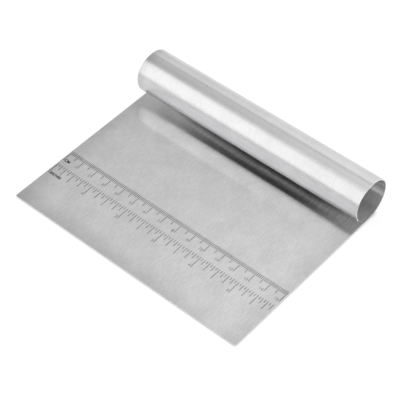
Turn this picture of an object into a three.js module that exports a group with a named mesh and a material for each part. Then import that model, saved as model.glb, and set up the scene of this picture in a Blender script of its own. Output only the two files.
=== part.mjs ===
// A one-piece dough scraper. A flat blade of stainless steel sheet runs back from its straight front
// edge, and its rear is rolled up and over into an open tube that serves as the handle.
// Millimetres. +X runs along the front edge, +Y from the front edge to the handle and +Z up.
// The origin is on the plane that the scraper lies on, midway across its width and its depth.

import * as THREE from 'three';

// Driving dimensions
const WIDTH = 152;               // along the front edge, and the length of the roll
const BLADE_LENGTH = 109.4;      // from the front edge to the line where the sheet starts to bend
const SHEET_THICKNESS = 0.6;
const FRONT_CORNER_RADIUS = 1;
const ROLL_OUTER_DIAMETER = 26.9;
const LIP_OUTER_RADIUS = 11.4;   // of the roll's last stretch, which curls in a little tighter
const ROLL_MOUTH = 6.2;          // clear height between the blade and the free edge of the roll

// Facets of the round stretches
const ROLL_FACETS = 96;
const LIP_FACETS = 28;
const CORNER_FACETS = 8;

// Angles about the roll's axis, from +Y towards +Z. The sheet leaves the blade at the bottom of the
// roll, goes round the back and over the top, and turns into the lip on the upper front.
const bendStart = -Math.PI / 2;
const lipStart = (5 / 6) * Math.PI;

// What follows from them
const rollOuterRadius = ROLL_OUTER_DIAMETER / 2;
const frontEdgeY = -(BLADE_LENGTH + rollOuterRadius) / 2;
const bendLineY = frontEdgeY + BLADE_LENGTH;
const rollCentre = new THREE.Vector2(0, 0);
const lipCentre = new THREE.Vector2(Math.cos(lipStart), Math.sin(lipStart));
lipCentre.multiplyScalar(rollOuterRadius - LIP_OUTER_RADIUS);

// The lip stops at the roll's free edge, low down on the front.
const freeEdgeHeight = SHEET_THICKNESS + ROLL_MOUTH;
const freeEdgeDrop = rollOuterRadius + lipCentre.y - freeEdgeHeight;
const freeEdgeAngle = Math.PI + Math.asin(freeEdgeDrop / LIP_OUTER_RADIUS);

function brushedSteel(roughness) {
  return new THREE.MeshStandardMaterial({ color: 0xc6c7c9, metalness: 1, roughness });
}

// The points of an arc, both its ends among them. Angles run from +x towards +y.
function arcPoints(centre, radius, from, to, facets) {
  const points = [];
  for (let i = 0; i <= facets; i += 1) {
    const angle = from + ((to - from) * i) / facets;
    const point = new THREE.Vector2(Math.cos(angle), Math.sin(angle));
    points.push(point.multiplyScalar(radius).add(centre));
  }
  return points;
}

// The flat sheet: a plate with a square rear end and its two front corners eased.
function makeBlade() {
  const side = WIDTH / 2;
  const cornerX = side - FRONT_CORNER_RADIUS;
  const cornerY = frontEdgeY + FRONT_CORNER_RADIUS;
  const corner = (x, from) => {
    const centre = new THREE.Vector2(x, cornerY);
    return arcPoints(centre, FRONT_CORNER_RADIUS, from, from + Math.PI / 2, CORNER_FACETS);
  };

  const outline = new THREE.Shape([
    new THREE.Vector2(side, bendLineY),
    new THREE.Vector2(-side, bendLineY),
    ...corner(-cornerX, Math.PI),
    ...corner(cornerX, 1.5 * Math.PI),
  ]);
  const geometry = new THREE.ExtrudeGeometry(outline, { depth: SHEET_THICKNESS, bevelEnabled: false });
  const blade = new THREE.Mesh(geometry, brushedSteel(0.34));
  blade.name = 'blade';
  return blade;
}

// The roll: the sheet's section as an open ring, drawn about the roll's axis and run along the width.
// It starts on the rear end of the blade, in line with it above and below.
function makeRolledHandle() {
  const sheetFace = (inset) => [
    ...arcPoints(rollCentre, rollOuterRadius - inset, bendStart, lipStart, ROLL_FACETS),
    ...arcPoints(lipCentre, LIP_OUTER_RADIUS - inset, lipStart, freeEdgeAngle, LIP_FACETS).slice(1),
  ];

  const section = new THREE.Shape([...sheetFace(0), ...sheetFace(SHEET_THICKNESS).reverse()]);
  const geometry = new THREE.ExtrudeGeometry(section, { depth: WIDTH, bevelEnabled: false });
  const handle = new THREE.Mesh(geometry, brushedSteel(0.3));
  handle.name = 'rolled_handle';
  // The section's own x and y become +Y and +Z, and its run becomes +X.
  handle.rotation.set(Math.PI / 2, Math.PI / 2, 0);
  handle.position.set(-WIDTH / 2, bendLineY, rollOuterRadius);
  return handle;
}

const scraper = new THREE.Group();
scraper.name = 'dough_scraper';
scraper.add(makeBlade(), makeRolledHandle());

export default scraper;
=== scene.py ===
# A one-piece dough scraper. A sheet of brushed stainless steel lies flat as the blade, and its rear is
# rolled up and over into an open tube that serves as the handle. A centimetre scale and an inch scale
# are etched across the blade.
# Metres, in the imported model's frame: +X along the front edge, +Y from the front edge to the handle, +Z up.

import math

import bmesh
import bpy
from mathutils import Matrix, Vector


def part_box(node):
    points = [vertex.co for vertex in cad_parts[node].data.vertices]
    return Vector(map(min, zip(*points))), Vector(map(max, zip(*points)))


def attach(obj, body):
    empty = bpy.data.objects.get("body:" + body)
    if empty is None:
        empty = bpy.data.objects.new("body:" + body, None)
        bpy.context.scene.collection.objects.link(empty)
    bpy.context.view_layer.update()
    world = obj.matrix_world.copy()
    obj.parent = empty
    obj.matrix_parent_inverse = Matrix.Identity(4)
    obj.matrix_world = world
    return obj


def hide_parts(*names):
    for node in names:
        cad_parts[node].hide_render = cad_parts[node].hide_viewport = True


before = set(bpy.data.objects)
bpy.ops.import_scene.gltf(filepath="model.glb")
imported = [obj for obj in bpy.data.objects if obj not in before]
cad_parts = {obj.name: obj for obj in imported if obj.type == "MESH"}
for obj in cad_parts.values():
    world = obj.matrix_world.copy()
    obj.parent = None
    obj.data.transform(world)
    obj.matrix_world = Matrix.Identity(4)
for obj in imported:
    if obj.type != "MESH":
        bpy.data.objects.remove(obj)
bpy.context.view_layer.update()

MM = 0.001

# The sheet, as the frame gives it
blade_low, blade_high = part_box("blade")
roll_low, roll_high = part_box("rolled_handle")
LEFT_X = blade_low.x
RIGHT_X = blade_high.x
FRONT_Y = blade_low.y
BEND_Y = blade_high.y
TOP_Z = blade_high.z
SHEET_THICKNESS = blade_high.z - blade_low.z
ROLL_RADIUS = (roll_high.z - roll_low.z) / 2

# What the boxes don't tell of it
ROLL_MOUTH = 6.2 * MM
SHOULDER_RADIUS = 8.0 * MM
SHOULDER_START = math.radians(230)
LIP_RADIUS = 15.9 * MM
LIP_START = math.radians(255)
FRONT_CORNER_RADIUS = 1.0 * MM
EDGE_EASING = 0.12 * MM
EASING_SEGMENTS = 3

# How finely the sheet is divided
COLUMNS = 16
BLADE_ROWS = 14
ROLL_ROWS = 92
SHOULDER_ROWS = 20
LIP_ROWS = 24
CORNER_STEPS = 12
SMOOTH_UP_TO = math.radians(10)

# Faces of the flat sheet whose normals are less upright than this are its cut edges
CUT_EDGE_LIMIT = 0.8

# The scales, measured from the left and the front edge of the blade
CENTIMETRE = 10 * MM
INCH = 25.4 * MM
CENTIMETRE_START = 1.0 * MM
INCH_START = 1.1 * MM
CENTIMETRE_LINE_Y = 43.4 * MM
INCH_LINE_Y = 32.0 * MM
CENTIMETRE_LINES = 151
INCH_LINES = 95
LINES_PER_CENTIMETRE = 10
LINES_PER_INCH = 16
LINE_WIDTH = 0.34 * MM
ETCH_HEIGHT = 0.02 * MM

# How long the lines are: all of them under 1, every fifth one under 5 and so on
CENTIMETRE_LENGTHS = {1: 2.6 * MM, 5: 5.0 * MM, 10: 8.05 * MM}
INCH_LENGTHS = {1: 2.0 * MM, 2: 3.9 * MM, 4: 6.2 * MM, 8: 7.7 * MM, 16: 8.6 * MM}

# The numbers and words of the scales
CENTIMETRE_NUMBERS = 15
INCH_NUMBERS = 5
CENTIMETRE_NUMBER_Y = 36.0 * MM
INCH_NUMBER_Y = 24.3 * MM
NUMBER_HEIGHT = 1.75 * MM
NUMBER_GAP = 0.9 * MM
CENTIMETRE_WORD_X = 1.6 * MM
INCH_WORD_X = 2.0 * MM
CENTIMETRE_WORD_HEIGHT = 2.0 * MM
INCH_WORD_HEIGHT = 1.8 * MM
WORD_BOLDNESS = 0.045
LETTER_STEPS = 3

# The finish
STEEL_COLOUR = (0.72, 0.718, 0.723)
CLEAR_ROUGHNESS = 0.16
CLEAR_ANISOTROPY = 0.9
HAZE_ROUGHNESS = 0.38
HAZE_ANISOTROPY = 1.0
HAZE_SHARE = 0.27
SHELTERED_HAZE_SHARE = 0.52
COARSE_HAZE_SHARE = 0.8
COARSE_ROUGHNESS = 0.56
INSIDE_ROUGHNESS = 0.45
RIPPLE_DEPTH = 0.012 * MM
BEND_LINE_GAP = 1.2 * MM
BEND_LINE_WIDTH = 0.25 * MM

# Shares of the tone where the bottom face is darker, and where shade or light is painted into it
UNDER_SIDE_SHARE = 0.88
INSIDE_SHADE_SHARE = 0.66
INSIDE_LEFT_SHADE_SHARE = 0.93
INSIDE_RIGHT_SHADE_SHARE = 0.74
CUT_EDGE_HIGHLIGHT_SHARE = 1.2
LEFT_BORDER_SHADE_SHARE = 0.83
RIGHT_BORDER_SHADE_SHARE = 0.88
FRONT_BORDER_SHADE_SHARE = 0.82
ROLL_END_SHADE_SHARE = 0.84
BEND_LINE_SHADE_SHARE = 0.6

# How far the painted shade of the left border fades near the roll and that of the front border to the
# right, and how far the mottling fades on the roll
LEFT_BORDER_FADE = 0.35
FRONT_BORDER_FADE = 0.6
MOTTLE_FADE = 0.4

# The noises of the finish: their size across the sheet and along it, and their detail
GRAIN = (0.14 * MM, 6 * MM, 2.0)
SPECKLE = (0.5 * MM, 0.7 * MM, 1.0)
FLECKS = (0.9 * MM, 4 * MM, 2.0)
CLOUDS = (11 * MM, 15 * MM, 2.0)
RIPPLES = (140 * MM, 1.6 * MM, 1.0)
SCRATCHES = (0.5 * MM, 7 * MM, 2.0)
BREAKS = (5 * MM, 0.6 * MM, 2.0)

# Between which levels they vary, from the middle of a noise's values
NOISE_MIDDLE = (0.3, 0.7)
GRAIN_RANGE = (0.9, 1.1)
SPECKLE_RANGE = (0.935, 1.065)
FLECK_RANGE = (0.94, 1.06)
CLOUD_RANGE = (0.95, 1.05)
SCRATCH_RANGE = (0.75, 1.25)
LEAST_SCRATCHED = 0.3

# Where the finish and the painted shade and light change on the flat sheet, from one place to another
SHOULDER_Y = BEND_Y + (ROLL_RADIUS - SHEET_THICKNESS / 2) * SHOULDER_START
LEFT_BORDER = (LEFT_X, LEFT_X + 14 * MM)
RIGHT_BORDER = (RIGHT_X - 12 * MM, RIGHT_X)
FRONT_BORDER = (FRONT_Y, FRONT_Y + 14 * MM)
TO_RIGHT = (LEFT_X + 100 * MM, LEFT_X + 135 * MM)
NEAR_ROLL = (FRONT_Y + 78 * MM, FRONT_Y + 90 * MM)
ONTO_ROLL = (BEND_Y, BEND_Y + 4 * MM)
ROLL_END = (LEFT_X, LEFT_X + 7 * MM)
BEND_LINES_START = (SHOULDER_Y + 0.5 * MM, SHOULDER_Y + 0.7 * MM)
BEND_LINES_END = (SHOULDER_Y + 4.1 * MM, SHOULDER_Y + 4.3 * MM)
INSIDE_LEFT = (LEFT_X, LEFT_X + 70 * MM)
INSIDE_RIGHT = (RIGHT_X - 35 * MM, RIGHT_X)
UNDER_ROLL = (BEND_Y - 17 * MM, BEND_Y - 14 * MM)
SCRATCHED = (LEFT_X + 20 * MM, LEFT_X + 60 * MM)
COARSE_END = (RIGHT_X - 50 * MM, RIGHT_X - 5 * MM)

# The etched marks
ETCH_CLOUD_SIZE = 3 * MM
ETCH_DETAIL = 2.0
ETCH_RANGE = (0.5, 1.5)
ETCH_ROUGHNESS = (0.45, 0.6)
ETCH_LEFT_TONE = 0.004
ETCH_RIGHT_TONE = 0.06

# The camera
CAMERA_AZIMUTH = 40.74
CAMERA_ELEVATION = 47.911
CAMERA_DISTANCE = 805.9 * MM
CAMERA_TARGET = Vector((0.51, 0.0, 0.72)) * MM
CAMERA_LENS = 136.82

# The floor, and how bright the steel mirrors it in front and behind
FLOOR_HALF = 4.0
FLOOR_COLOUR = (0.25, 0.25, 0.25, 1)
FLOOR_GLOW = 0.8
FLOOR_FRONT = (-0.26, 0.12)
FLOOR_LEFT_SHARE = 1.3
FLOOR_RIGHT_SHARE = 0.8
FLOOR_BEHIND = (0.0, 0.12)
FLOOR_BEHIND_SHARE = 0.95
TOUCH_DISTANCE = 2 * MM
TOUCH_NORMAL = (0, 0.6, 0.8)
TOUCH_SAMPLES = 8

# The light by direction, where 1 is white
BACK_HORIZON = 0.82
BACK_LEVEL = 1.06
REAR_LEVEL = 0.66
OVERHEAD_LEVEL = 0.785
FRONT_LEVEL = 1.66
FRONT_HORIZON = 1.15
LEFT_HORIZON = 0.25
PLAIN_LEVEL = 1.17
ABOVE_LEVEL = 0.75
LEAST_SIDE = 0.2

# How the light changes from left to right
BACK_SLOPE = 2.4
OVERHEAD_SLOPE = 5.0
FRONT_SLOPE = -0.7
HORIZON_SLOPE = -2.0
SIDE_MIDDLE = 0.437

# Its angles about the width, in degrees from the rear over the top to the front
BACK_HORIZON_ANGLES = (-5, 35)
REAR_ANGLES = (42, 54)
OVERHEAD_ANGLES = (53.5, 57)
OVERHEAD_SLOPE_ANGLES = (62, 70)
FRONT_SLOPE_ANGLES = (90, 110)
FRONT_ANGLES = (85, 118)
FRONT_HORIZON_ANGLES = (170, 184)
ABOVE_START = (65, 90)
ABOVE_END = (105, 135)

# Its places from left to right, as the x of a direction
LEFT_HORIZON_PLACE = (-0.46, -0.51)
STRIP_START = (-0.6, -0.53)
STRIP_END = (-0.32, -0.2)
LEFT_SIDE = (-0.65, -0.8)
RIGHT_SIDE = (-0.1, 0.3)


def feed(tree, socket, value):
    """Links a socket to another node's output, or sets it to a plain value."""
    if isinstance(value, bpy.types.NodeSocket):
        tree.links.new(value, socket)
    else:
        socket.default_value = value


def node(tree, kind, inputs=None, **settings):
    """Adds a node with its settings and what its inputs take, by name or by number."""
    made = tree.nodes.new(kind)
    for name, value in settings.items():
        setattr(made, name, value)
    for name, value in (inputs or {}).items():
        feed(tree, made.inputs[name], value)
    return made


def calc(tree, operation, *values):
    """The result of a Math node."""
    made = node(tree, "ShaderNodeMath", dict(enumerate(values)), operation=operation)
    return made.outputs["Value"]


def times(tree, first, *others):
    """The product of two or more values."""
    product = first
    for value in others:
        product = calc(tree, "MULTIPLY", product, value)
    return product


def ramp(tree, value, span, low=0.0, high=1.0):
    """A level that goes smoothly from low at the start of a span to high at its end."""
    inputs = {"Value": value, "From Min": span[0], "From Max": span[1], "To Min": low, "To Max": high}
    made = node(tree, "ShaderNodeMapRange", inputs, interpolation_type="SMOOTHSTEP")
    return made.outputs["Result"]


def blend(tree, share, first, second):
    """Goes from one level to another by a share from 0 to 1."""
    made = node(tree, "ShaderNodeMix", {"Factor": share}, data_type="FLOAT")
    feed(tree, made.inputs["A"], first)
    feed(tree, made.inputs["B"], second)
    return made.outputs["Result"]


def noise(tree, vector, scale, detail):
    """The grey of a noise texture."""
    made = node(tree, "ShaderNodeTexNoise", {"Vector": vector, "Scale": scale, "Detail": detail})
    return made.outputs["Fac"]


def spread(tree, value, low, high):
    """Takes a noise, whose values lie about 0.5, to a range of its own."""
    start, end = NOISE_MIDDLE
    inputs = {"Value": value, "From Min": start, "From Max": end, "To Min": low, "To Max": high}
    return node(tree, "ShaderNodeMapRange", inputs).outputs["Result"]


def geometry_tree(name, sizes):
    """An empty Geometry Nodes tree that takes a mesh, named sizes and a material.

    Gives the tree and its inputs.
    """
    tree = bpy.data.node_groups.new(name, "GeometryNodeTree")
    tree.interface.new_socket("Mesh", in_out="INPUT", socket_type="NodeSocketGeometry")
    for size, kind in sizes.items():
        tree.interface.new_socket(size, in_out="INPUT", socket_type=kind)
    tree.interface.new_socket("Material", in_out="INPUT", socket_type="NodeSocketMaterial")
    tree.interface.new_socket("Mesh", in_out="OUTPUT", socket_type="NodeSocketGeometry")
    return tree, tree.nodes.new("NodeGroupInput").outputs


def store(tree, geometry, name, data_type, domain, value):
    """Stores a value on a geometry under a name. Gives the geometry."""
    inputs = {"Geometry": geometry, "Name": name}
    made = node(tree, "GeometryNodeStoreNamedAttribute", inputs, data_type=data_type, domain=domain)
    feed(tree, next(s for s in made.inputs if s.name == "Value" and s.enabled), value)
    return made.outputs["Geometry"]


def close_tree(tree, geometry, material):
    """Ends a tree: its instances become real geometry and take their material."""
    real = node(tree, "GeometryNodeRealizeInstances", {"Geometry": geometry})
    inputs = {"Geometry": real.outputs["Geometry"], "Material": material}
    dressed = node(tree, "GeometryNodeSetMaterial", inputs)
    node(tree, "NodeGroupOutput", {"Mesh": dressed.outputs["Geometry"]})


def add_tree(obj, tree, values):
    """Puts a tree on an object as a modifier and sets the tree's inputs."""
    modifier = obj.modifiers.new(tree.name, "NODES")
    modifier.node_group = tree
    for item in tree.interface.items_tree:
        if item.in_out == "INPUT" and item.name in values:
            modifier[item.identifier] = values[item.name]


def new_piece(name, data):
    """An object in the scene for a mesh or a text."""
    obj = bpy.data.objects.new(name, data)
    bpy.context.scene.collection.objects.link(obj)
    return obj


def make_plain(obj):
    """Turns an object and its modifiers into a plain mesh."""
    graph = bpy.context.evaluated_depsgraph_get()
    shape = obj.evaluated_get(graph)
    mesh = bpy.data.meshes.new_from_object(shape, preserve_all_data_layers=True, depsgraph=graph)
    obj.modifiers.clear()
    obj.data = mesh
    mesh.name = obj.name


def new_material(name):
    """A material and its empty node tree."""
    material = bpy.data.materials.new(name)
    material.use_nodes = True
    material.node_tree.nodes.clear()
    return material, material.node_tree


def streaks(tree, place, size):
    """A noise drawn out across the sheet or along it."""
    width, length, detail = size
    stretch = {"Vector": place, "Scale": (1 / width, 1 / length, 1)}
    return noise(tree, node(tree, "ShaderNodeMapping", stretch).outputs["Vector"], 1.0, detail)


def own(tree, name):
    """A value that the mesh stores under a name."""
    return node(tree, "ShaderNodeAttribute", attribute_name=name).outputs["Fac"]


def bend_lines(tree, place, along):
    """A few faint broken creases that bending leaves along the shoulder, as 0 to 1, where shade is painted.
    """
    past_shoulder = calc(tree, "SUBTRACT", along, SHOULDER_Y)
    past_line = calc(tree, "PINGPONG", past_shoulder, BEND_LINE_GAP / 2)
    lines = ramp(tree, past_line, (0.0, BEND_LINE_WIDTH), 1.0, 0.0)
    started = ramp(tree, along, BEND_LINES_START)
    not_ended = ramp(tree, along, BEND_LINES_END, 1.0, 0.0)
    broken = spread(tree, streaks(tree, place, BREAKS), 0.0, 1.0)
    return times(tree, lines, started, not_ended, broken)


def steel_tone(tree, place, across, along, on_roll):
    """How bright the steel is from place to place, with the shade and light that are painted into it."""
    # Flecks and clouds mottle the sheet, less so on the roll, and speckles cover all of it.
    flecks = spread(tree, streaks(tree, place, FLECKS), *FLECK_RANGE)
    clouds = spread(tree, streaks(tree, place, CLOUDS), *CLOUD_RANGE)
    speckle = spread(tree, streaks(tree, place, SPECKLE), *SPECKLE_RANGE)
    mottled = blend(tree, times(tree, on_roll, MOTTLE_FADE), times(tree, flecks, clouds), 1.0)
    tone = times(tree, mottled, speckle)

    # Painted shade: the blade is darker towards its left, right and front borders.
    left = ramp(tree, across, LEFT_BORDER, LEFT_BORDER_SHADE_SHARE, 1.0)
    left = blend(tree, ramp(tree, along, NEAR_ROLL, 0.0, LEFT_BORDER_FADE), left, 1.0)
    right = ramp(tree, across, RIGHT_BORDER, 1.0, RIGHT_BORDER_SHADE_SHARE)
    front = ramp(tree, along, FRONT_BORDER, FRONT_BORDER_SHADE_SHARE, 1.0)
    front = blend(tree, ramp(tree, across, TO_RIGHT, 0.0, FRONT_BORDER_FADE), front, 1.0)
    for border in (left, right, front):
        tone = times(tree, tone, blend(tree, on_roll, border, 1.0))

    # Shade is also painted on the bend lines, which are real creases, at the roll's left end and on the
    # inside of the roll, with painted light on the inside towards both open ends. The underside is darker.
    # Painted shade at the roll's left end
    roll_end_shade = ramp(tree, across, ROLL_END, ROLL_END_SHADE_SHARE, 1.0)
    from_left = ramp(tree, across, INSIDE_LEFT, INSIDE_LEFT_SHADE_SHARE, INSIDE_SHADE_SHARE)
    from_right = ramp(tree, across, INSIDE_RIGHT, INSIDE_SHADE_SHARE, INSIDE_RIGHT_SHADE_SHARE)
    inside_shade = calc(tree, "MAXIMUM", from_left, from_right)
    tone = times(
        tree,
        tone,
        blend(tree, bend_lines(tree, place, along), 1.0, BEND_LINE_SHADE_SHARE),
        blend(tree, on_roll, 1.0, roll_end_shade),
        blend(tree, own(tree, "inside_roll"), 1.0, inside_shade),
        blend(tree, own(tree, "top_side"), UNDER_SIDE_SHARE, 1.0),
    )
    # A highlight is painted on the cut edges: their colour is raised.
    return blend(tree, own(tree, "cut_edge"), tone, CUT_EDGE_HIGHLIGHT_SHARE)


def steel_haze(tree, place, across, along):
    """The share of the haze and its roughness. The blade is brushed more coarsely under the roll."""
    sheltered = times(tree, own(tree, "top_side"), ramp(tree, along, UNDER_ROLL))
    right_end = ramp(tree, across, COARSE_END)
    scratches = spread(tree, streaks(tree, place, SCRATCHES), *SCRATCH_RANGE)
    scratched = ramp(tree, across, SCRATCHED, LEAST_SCRATCHED, 1.0)
    coarse = blend(tree, right_end, SHELTERED_HAZE_SHARE, COARSE_HAZE_SHARE)
    coarse = times(tree, coarse, blend(tree, scratched, 1.0, scratches))
    share = blend(tree, sheltered, HAZE_SHARE, coarse)
    coarse_end = times(tree, sheltered, right_end)
    roughness = blend(tree, coarse_end, HAZE_ROUGHNESS, COARSE_ROUGHNESS)
    return share, blend(tree, own(tree, "inside_roll"), roughness, INSIDE_ROUGHNESS)


def brushed_steel():
    """Satin steel whose grain runs from the front edge to the back and on round the roll."""
    material, tree = new_material("brushed_steel")
    place = node(tree, "ShaderNodeUVMap", uv_map="sheet").outputs["UV"]
    across, along, _ = node(tree, "ShaderNodeSeparateXYZ", {"Vector": place}).outputs
    on_roll = ramp(tree, along, ONTO_ROLL)
    tone = steel_tone(tree, place, across, along, on_roll)
    colour = node(tree, "ShaderNodeVectorMath", {"Vector": STEEL_COLOUR, "Scale": tone}, operation="SCALE")
    grain = spread(tree, streaks(tree, place, GRAIN), *GRAIN_RANGE)
    ripples = times(tree, streaks(tree, place, RIPPLES), on_roll)
    bump = node(tree, "ShaderNodeBump", {"Height": ripples, "Strength": 1.0, "Distance": RIPPLE_DEPTH})
    tangent = node(tree, "ShaderNodeTangent", direction_type="UV_MAP", uv_map="sheet")

    def reflection(roughness, anisotropy):
        """The metal as it mirrors in one way."""
        inputs = {
            "Base Color": colour.outputs["Vector"],
            "Roughness": times(tree, grain, roughness),
            "Normal": bump.outputs["Normal"],
            "Tangent": tangent.outputs["Tangent"],
            "Anisotropic": anisotropy,
            "Metallic": 1.0,
        }
        return node(tree, "ShaderNodeBsdfPrincipled", inputs).outputs["BSDF"]

    # The metal mirrors in two ways, clearly and with a haze. The grain spreads both along the width.
    haze_share, haze_roughness = steel_haze(tree, place, across, along)
    clear = reflection(CLEAR_ROUGHNESS, CLEAR_ANISOTROPY)
    haze = reflection(haze_roughness, HAZE_ANISOTROPY)
    both = node(tree, "ShaderNodeMixShader", {"Fac": haze_share, 1: clear, 2: haze})
    node(tree, "ShaderNodeOutputMaterial", {"Surface": both.outputs["Shader"]})
    return material


def etched_marks():
    """The dark grey that etching leaves, a little uneven, with light painted in that makes it paler to the
    right.
    """
    material, tree = new_material("etched_marks")
    place = node(tree, "ShaderNodeTexCoord").outputs["Object"]
    across = node(tree, "ShaderNodeSeparateXYZ", {"Vector": place}).outputs["X"]
    uneven = noise(tree, place, 1 / ETCH_CLOUD_SIZE, ETCH_DETAIL)
    # Painted light: the marks are paler towards the right.
    tone = ramp(tree, across, (LEFT_X, RIGHT_X), ETCH_LEFT_TONE, ETCH_RIGHT_TONE)
    inputs = {
        "Base Color": times(tree, spread(tree, uneven, *ETCH_RANGE), tone),
        "Roughness": spread(tree, uneven, *ETCH_ROUGHNESS),
    }
    shader = node(tree, "ShaderNodeBsdfPrincipled", inputs)
    node(tree, "ShaderNodeOutputMaterial", {"Surface": shader.outputs["BSDF"]})
    return material


def flat_blank():
    """The sheet's underside as it is cut, before it is rolled."""
    half_thickness = SHEET_THICKNESS / 2
    shoulder_rise = (ROLL_RADIUS - SHOULDER_RADIUS) * math.cos(SHOULDER_START)
    lip_rise = (SHOULDER_RADIUS - LIP_RADIUS) * math.cos(LIP_START)
    lip_middle = ROLL_RADIUS - shoulder_rise - lip_rise
    free_edge = 1.5 * math.pi + math.asin((lip_middle - SHEET_THICKNESS - ROLL_MOUTH) / LIP_RADIUS)
    shoulder_length = (SHOULDER_RADIUS - half_thickness) * (LIP_START - SHOULDER_START)
    lip_length = (LIP_RADIUS - half_thickness) * (free_edge - LIP_START)
    radius = FRONT_CORNER_RADIUS
    corner_y = FRONT_Y + radius

    # The rows of points, by the four stretches of the sheet
    lip_y = SHOULDER_Y + shoulder_length
    stretches = (
        (corner_y, BEND_Y, BLADE_ROWS),
        (BEND_Y, SHOULDER_Y, ROLL_ROWS),
        (SHOULDER_Y, lip_y, SHOULDER_ROWS),
        (lip_y, lip_y + lip_length, LIP_ROWS),
    )
    rows = [start + (end - start) * i / count for start, end, count in stretches for i in range(count)]
    rows.append(lip_y + lip_length)
    columns = [RIGHT_X * (2 * i / COLUMNS - 1) for i in range(COLUMNS + 1)]

    blank = bmesh.new()
    grid = [[blank.verts.new((x, y, 0)) for x in columns] for y in rows]
    for near, far in zip(grid, grid[1:]):
        for i in range(COLUMNS):
            blank.faces.new((near[i], near[i + 1], far[i + 1], far[i]))

    # The front strip, whose two corners are rounded
    quarter = [0.5 * math.pi * i / CORNER_STEPS for i in range(CORNER_STEPS + 1)]
    left = [(LEFT_X + radius * (1 - math.cos(a)), corner_y - radius * math.sin(a)) for a in quarter]
    right = [(-x, y) for x, y in reversed(left)]
    outline = [blank.verts.new((x, y, 0)) for x, y in left[1:] + right[:-1]]
    blank.faces.new([grid[0][0]] + outline + grid[0][:0:-1])

    mesh = bpy.data.meshes.new("sheet")
    blank.to_mesh(mesh)
    blank.free()
    return mesh


def rolling_tree(sizes):
    """Rolls up what lies past the bend line, tight on the shoulder and flatter on the lip after it.

    Points keep their flat place as a UV map.
    """
    tree, given = geometry_tree("Rolled handle", {name: "NodeSocketFloat" for name in sizes})
    place = tree.nodes.new("GeometryNodeInputPosition").outputs["Position"]
    x, y, z = node(tree, "ShaderNodeSeparateXYZ", {"Vector": place}).outputs

    # The thickness counts in the map as well, so that it has room for the cut edges.
    map_ways = {"X": calc(tree, "ADD", x, z), "Y": calc(tree, "ADD", y, z)}
    map_place = node(tree, "ShaderNodeCombineXYZ", map_ways).outputs["Vector"]
    mapped = store(tree, given["Mesh"], "sheet", "FLOAT2", "CORNER", map_place)

    # How far each point has turned, on the roll, the shoulder and the lip. The middle of the thickness
    # keeps its length.
    bend = given["Bend Line"]
    radius = given["Roll Radius"]
    shoulder_radius = given["Shoulder Radius"]
    lip_radius = given["Lip Radius"]
    half_thickness = times(tree, given["Sheet Thickness"], 0.5)
    past_bend = calc(tree, "MAXIMUM", calc(tree, "SUBTRACT", y, bend), 0.0)

    def turn(past, face_radius, limit):
        """The angle turned on one stretch, and the length that is left past it."""
        middle = calc(tree, "SUBTRACT", face_radius, half_thickness)
        length = times(tree, middle, limit)
        turned = calc(tree, "DIVIDE", calc(tree, "MINIMUM", past, length), middle)
        return turned, calc(tree, "MAXIMUM", calc(tree, "SUBTRACT", past, length), 0.0)

    # The lip ends with the blank, well before half a turn.
    shoulder_turn = calc(tree, "SUBTRACT", given["Lip Start"], given["Shoulder Start"])
    roll_angle, past_roll = turn(past_bend, radius, given["Shoulder Start"])
    on_shoulder, past_shoulder = turn(past_roll, shoulder_radius, shoulder_turn)
    on_lip, _ = turn(past_shoulder, lip_radius, math.pi)
    shoulder_angle = calc(tree, "ADD", roll_angle, on_shoulder)
    lip_angle = calc(tree, "ADD", shoulder_angle, on_lip)

    # Three arms carry a point, one for each stretch. Each turns with its own stretch and those before it.
    arms = (
        (roll_angle, calc(tree, "SUBTRACT", radius, shoulder_radius)),
        (shoulder_angle, calc(tree, "SUBTRACT", shoulder_radius, lip_radius)),
        (lip_angle, calc(tree, "SUBTRACT", lip_radius, z)),
    )
    new_y = calc(tree, "MINIMUM", y, bend)
    new_z = radius
    for turned, arm in arms:
        new_y = calc(tree, "MULTIPLY_ADD", arm, calc(tree, "SINE", turned), new_y)
        new_z = calc(tree, "SUBTRACT", new_z, times(tree, arm, calc(tree, "COSINE", turned)))

    # Values for the finish and for the shade and highlight painted into it: which side a point is on,
    # how far it lies inside the roll, and which faces are cut.
    on_top = calc(tree, "GREATER_THAN", z, half_thickness)
    into_roll = calc(tree, "MINIMUM", calc(tree, "DIVIDE", past_bend, radius), 1.0)
    normal = tree.nodes.new("GeometryNodeInputNormal").outputs["Normal"]
    upward = node(tree, "ShaderNodeSeparateXYZ", {"Vector": normal}).outputs["Z"]
    cut = calc(tree, "LESS_THAN", calc(tree, "ABSOLUTE", upward), CUT_EDGE_LIMIT)
    valued = store(tree, mapped, "top_side", "FLOAT", "POINT", on_top)
    valued = store(tree, valued, "inside_roll", "FLOAT", "POINT", times(tree, on_top, into_roll))
    valued = store(tree, valued, "cut_edge", "FLOAT", "FACE", cut)

    new_place = node(tree, "ShaderNodeCombineXYZ", {"X": x, "Y": new_y, "Z": new_z}).outputs["Vector"]
    moved = node(tree, "GeometryNodeSetPosition", {"Geometry": valued, "Position": new_place})
    close_tree(tree, moved.outputs["Geometry"], given["Material"])
    return tree


def make_sheet(steel):
    """The whole scraper: a blank with its thickness and its eased edges, rolled at the rear."""
    sheet = new_piece("sheet", flat_blank())
    thickness = sheet.modifiers.new("Thickness", "SOLIDIFY")
    thickness.thickness = SHEET_THICKNESS
    thickness.offset = 1
    easing = sheet.modifiers.new("Eased edges", "BEVEL")
    easing.width = EDGE_EASING
    easing.segments = EASING_SEGMENTS
    sizes = {
        "Bend Line": BEND_Y,
        "Roll Radius": ROLL_RADIUS,
        "Shoulder Radius": SHOULDER_RADIUS,
        "Shoulder Start": SHOULDER_START,
        "Lip Radius": LIP_RADIUS,
        "Lip Start": LIP_START,
        "Sheet Thickness": SHEET_THICKNESS,
    }
    add_tree(sheet, rolling_tree(sizes), {**sizes, "Material": steel})
    make_plain(sheet)
    sheet.data.shade_smooth()
    sheet.data.set_sharp_from_angle(angle=SMOOTH_UP_TO)
    return sheet


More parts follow.
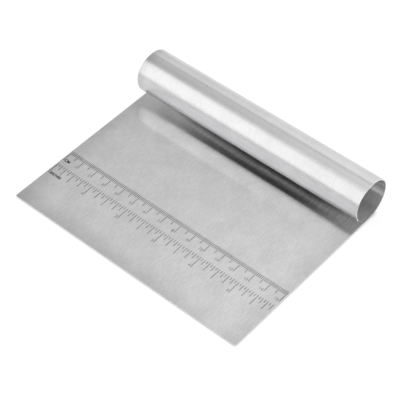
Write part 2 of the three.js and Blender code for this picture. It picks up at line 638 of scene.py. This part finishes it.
def scale_tree(name, levels):
    """A row of lines that hang from one base line. Each level sets the length of every so many lines."""
    number = "NodeSocketFloat"
    sizes = {
        "Lines": "NodeSocketInt",
        "Pitch": number,
        "Start": "NodeSocketVector",
        "Line Width": number,
        "Etch Height": number,
    }
    sizes.update({f"Length at {every}": number for every in levels})
    tree, given = geometry_tree(name, sizes)

    step = node(tree, "ShaderNodeCombineXYZ", {"X": given["Pitch"]}).outputs["Vector"]
    places = {"Count": given["Lines"], "Start Location": given["Start"], "Offset": step}
    row = node(tree, "GeometryNodeMeshLine", places).outputs["Mesh"]
    index = tree.nodes.new("GeometryNodeInputIndex").outputs["Index"]
    length = 0.0
    for every in levels:
        on_level = calc(tree, "LESS_THAN", calc(tree, "MODULO", index, every), 0.5)
        chosen = node(tree, "GeometryNodeSwitch", {"Switch": on_level, "False": length}, input_type="FLOAT")
        feed(tree, chosen.inputs["True"], given[f"Length at {every}"])
        length = chosen.outputs["Output"]

    # A bar one unit long is moved to hang from the base line, then scaled.
    bar = tree.nodes.new("GeometryNodeMeshCube").outputs["Mesh"]
    hung = node(tree, "GeometryNodeTransform", {"Geometry": bar, "Translation": (0, -0.5, 0)})
    ways = {"X": given["Line Width"], "Y": length, "Z": given["Etch Height"]}
    size = node(tree, "ShaderNodeCombineXYZ", ways).outputs["Vector"]
    inputs = {"Points": row, "Instance": hung.outputs["Geometry"], "Scale": size}
    lines = node(tree, "GeometryNodeInstanceOnPoints", inputs)
    close_tree(tree, lines.outputs["Instances"], given["Material"])
    return tree


def make_scale(name, lines, pitch, start, lengths, etch):
    """One etched scale. The lengths are by level."""
    scale = new_piece(name, bpy.data.meshes.new(name))
    values = {
        "Lines": lines,
        "Pitch": pitch,
        "Start": (LEFT_X + start[0], FRONT_Y + start[1], TOP_Z),
        "Line Width": LINE_WIDTH,
        "Etch Height": ETCH_HEIGHT,
        "Material": etch,
    }
    values.update({f"Length at {every}": length for every, length in lengths.items()})
    add_tree(scale, scale_tree(name, lengths), values)
    make_plain(scale)
    return scale


def text_mesh(words, height, boldness):
    """Words as a thin mesh of the given height, with its left end at x 0 and its middle at y 0."""
    curve = bpy.data.curves.new(words, "FONT")
    curve.body = words
    curve.resolution_u = LETTER_STEPS
    curve.offset = boldness
    # One unit deep, half of it to each side, until it is scaled
    curve.extrude = 0.5
    text = new_piece(words, curve)
    graph = bpy.context.evaluated_depsgraph_get()
    mesh = bpy.data.meshes.new_from_object(text.evaluated_get(graph), depsgraph=graph)
    bpy.data.objects.remove(text)
    xs = [v.co.x for v in mesh.vertices]
    ys = [v.co.y for v in mesh.vertices]
    size = height / (max(ys) - min(ys))
    middle = (max(ys) + min(ys)) / 2
    to_start = Matrix.Translation((-min(xs), -middle, 0))
    mesh.transform(Matrix.Diagonal((size, size, ETCH_HEIGHT, 1)) @ to_start)
    return mesh, (max(xs) - min(xs)) * size


def make_numbers(etch):
    """The numbers left of each whole line, and the words that name the units."""
    drawn = bmesh.new()

    def put(words, x, y, height, boldness):
        """A number ends at x, and a word starts there."""
        mesh, width = text_mesh(words, height, boldness)
        start = x - width if words.isdigit() else x
        mesh.transform(Matrix.Translation((LEFT_X + start, FRONT_Y + y, TOP_Z)))
        drawn.from_mesh(mesh)
        bpy.data.meshes.remove(mesh)

    rows = (
        (CENTIMETRE_NUMBERS, CENTIMETRE, CENTIMETRE_START, CENTIMETRE_NUMBER_Y),
        (INCH_NUMBERS, INCH, INCH_START, INCH_NUMBER_Y),
    )
    for count, unit, start, y in rows:
        for number in range(1, count + 1):
            put(str(number), start + unit * number - NUMBER_GAP, y, NUMBER_HEIGHT, 0.0)
    put("CM", CENTIMETRE_WORD_X, CENTIMETRE_NUMBER_Y, CENTIMETRE_WORD_HEIGHT, WORD_BOLDNESS)
    put("INCHES", INCH_WORD_X, INCH_NUMBER_Y, INCH_WORD_HEIGHT, WORD_BOLDNESS)

    mesh = bpy.data.meshes.new("scale_numbers")
    drawn.to_mesh(mesh)
    drawn.free()
    mesh.materials.append(etch)
    return new_piece("scale_numbers", mesh)


def lit_floor():
    """Pale floor that shows white and keeps a soft shadow."""
    material, tree = new_material("floor")
    ray = tree.nodes.new("ShaderNodeLightPath").outputs
    place = node(tree, "ShaderNodeTexCoord").outputs["Object"]
    across, along, _ = node(tree, "ShaderNodeSeparateXYZ", {"Vector": place}).outputs
    in_front = ramp(tree, across, FLOOR_FRONT, FLOOR_LEFT_SHARE, FLOOR_RIGHT_SHARE)
    mirrored = blend(tree, ramp(tree, along, FLOOR_BEHIND), in_front, FLOOR_BEHIND_SHARE)
    seen = calc(tree, "MAXIMUM", ray["Is Camera Ray"], times(tree, ray["Is Glossy Ray"], mirrored))
    # A painted contact shadow: occlusion close to the sheet, looked for towards the back and up, darkens the
    # glow.
    near = {"Distance": TOUCH_DISTANCE, "Normal": TOUCH_NORMAL}
    contact_shadow = node(tree, "ShaderNodeAmbientOcclusion", near, samples=TOUCH_SAMPLES)
    strength = times(tree, seen, times(tree, contact_shadow.outputs["AO"], FLOOR_GLOW))
    matt = node(tree, "ShaderNodeBsdfDiffuse", {"Color": FLOOR_COLOUR})
    glow = node(tree, "ShaderNodeEmission", {"Strength": strength})
    both = node(tree, "ShaderNodeAddShader", {0: matt.outputs["BSDF"], 1: glow.outputs["Emission"]})
    node(tree, "ShaderNodeOutputMaterial", {"Surface": both.outputs["Shader"]})
    return material


def make_floor():
    """A wide plain floor under the scraper."""
    mesh = bpy.data.meshes.new("floor")
    half = FLOOR_HALF
    corners = [(-half, -half, 0), (half, -half, 0), (half, half, 0), (-half, half, 0)]
    mesh.from_pydata(corners, [], [(0, 1, 2, 3)])
    mesh.materials.append(lit_floor())
    floor = new_piece("floor", mesh)


def make_studio():
    """Soft plain light from all sides, dimmer overhead.

    It is set by its angle about the width and from left to right. A strip of it, stronger in front, is
    what the roll mirrors at the photograph's angle.
    """
    world = bpy.data.worlds.new("studio")
    bpy.context.scene.world = world
    world.use_nodes = True
    tree = world.node_tree
    tree.nodes.clear()
    way = node(tree, "ShaderNodeTexCoord").outputs["Generated"]
    x, y, z = node(tree, "ShaderNodeSeparateXYZ", {"Vector": way}).outputs
    angle = calc(tree, "DEGREES", calc(tree, "ARCTAN2", z, y))
    from_middle = calc(tree, "ADD", x, SIDE_MIDDLE)

    # How much brighter or dimmer it is to the side
    slope = ramp(tree, angle, OVERHEAD_SLOPE_ANGLES, BACK_SLOPE, OVERHEAD_SLOPE)
    slope = blend(tree, ramp(tree, angle, FRONT_SLOPE_ANGLES), slope, FRONT_SLOPE)
    side = calc(tree, "MAXIMUM", calc(tree, "MULTIPLY_ADD", slope, from_middle, 1.0), LEAST_SIDE)

    # From the rear to overhead, and in front
    rear = blend(tree, ramp(tree, angle, REAR_ANGLES), BACK_LEVEL, REAR_LEVEL)
    rear = blend(tree, ramp(tree, angle, OVERHEAD_ANGLES), rear, OVERHEAD_LEVEL)
    rear = times(tree, rear, ramp(tree, angle, BACK_HORIZON_ANGLES, BACK_HORIZON, 1.0))
    horizon = calc(tree, "MULTIPLY_ADD", from_middle, HORIZON_SLOPE, FRONT_HORIZON)
    horizon = calc(tree, "ADD", horizon, ramp(tree, x, LEFT_HORIZON_PLACE, 0.0, LEFT_HORIZON))
    front = blend(tree, ramp(tree, angle, FRONT_HORIZON_ANGLES), FRONT_LEVEL, horizon)
    level = times(tree, blend(tree, ramp(tree, angle, FRONT_ANGLES), rear, front), side)

    # Only the strip may pass the plain level. Farther to both sides the light is even.
    strip = times(tree, ramp(tree, x, STRIP_START), ramp(tree, x, STRIP_END, 1.0, 0.0))
    level = blend(tree, strip, calc(tree, "MINIMUM", level, PLAIN_LEVEL), level)
    above = times(tree, ramp(tree, angle, ABOVE_START), ramp(tree, angle, ABOVE_END, 1.0, 0.0))
    beside = blend(tree, above, PLAIN_LEVEL, ABOVE_LEVEL)
    level = blend(tree, ramp(tree, x, LEFT_SIDE), level, beside)
    level = blend(tree, ramp(tree, x, RIGHT_SIDE), level, beside)

    # The camera itself sees plain white.
    seen = tree.nodes.new("ShaderNodeLightPath").outputs["Is Camera Ray"]
    inputs = {"Color": (1, 1, 1, 1), "Strength": blend(tree, seen, level, 1.0)}
    glow = node(tree, "ShaderNodeBackground", inputs)
    node(tree, "ShaderNodeOutputWorld", {"Surface": glow.outputs["Background"]})


def direction(azimuth, elevation):
    """The way from the object at an elevation and an azimuth, counted from the front (-Y) towards +X."""
    a = math.radians(azimuth)
    e = math.radians(elevation)
    return Vector((math.sin(a) * math.cos(e), -math.cos(a) * math.cos(e), math.sin(e)))


def make_camera():
    """The camera, at the photograph's viewing angle."""
    away = direction(CAMERA_AZIMUTH, CAMERA_ELEVATION)
    lens = bpy.data.cameras.new("camera")
    lens.lens = CAMERA_LENS
    camera = new_piece("camera", lens)
    camera.location = CAMERA_TARGET + away * CAMERA_DISTANCE
    camera.rotation_mode = "QUATERNION"
    camera.rotation_quaternion = (-away).to_track_quat("-Z", "Y")
    bpy.context.scene.camera = camera


steel = brushed_steel()
etch = etched_marks()

sheet = make_sheet(steel)
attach(sheet, "root")
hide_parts("blade", "rolled_handle")

centimetre_scale = make_scale(
    "centimetre_scale",
    CENTIMETRE_LINES,
    CENTIMETRE / LINES_PER_CENTIMETRE,
    (CENTIMETRE_START, CENTIMETRE_LINE_Y),
    CENTIMETRE_LENGTHS,
    etch,
)
inch_scale = make_scale(
    "inch_scale",
    INCH_LINES,
    INCH / LINES_PER_INCH,
    (INCH_START, INCH_LINE_Y),
    INCH_LENGTHS,
    etch,
)
scale_numbers = make_numbers(etch)
for marks in (centimetre_scale, inch_scale, scale_numbers):
    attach(marks, "root")

make_floor()
make_studio()
make_camera()
bpy.context.scene.view_settings.view_transform = "Standard"
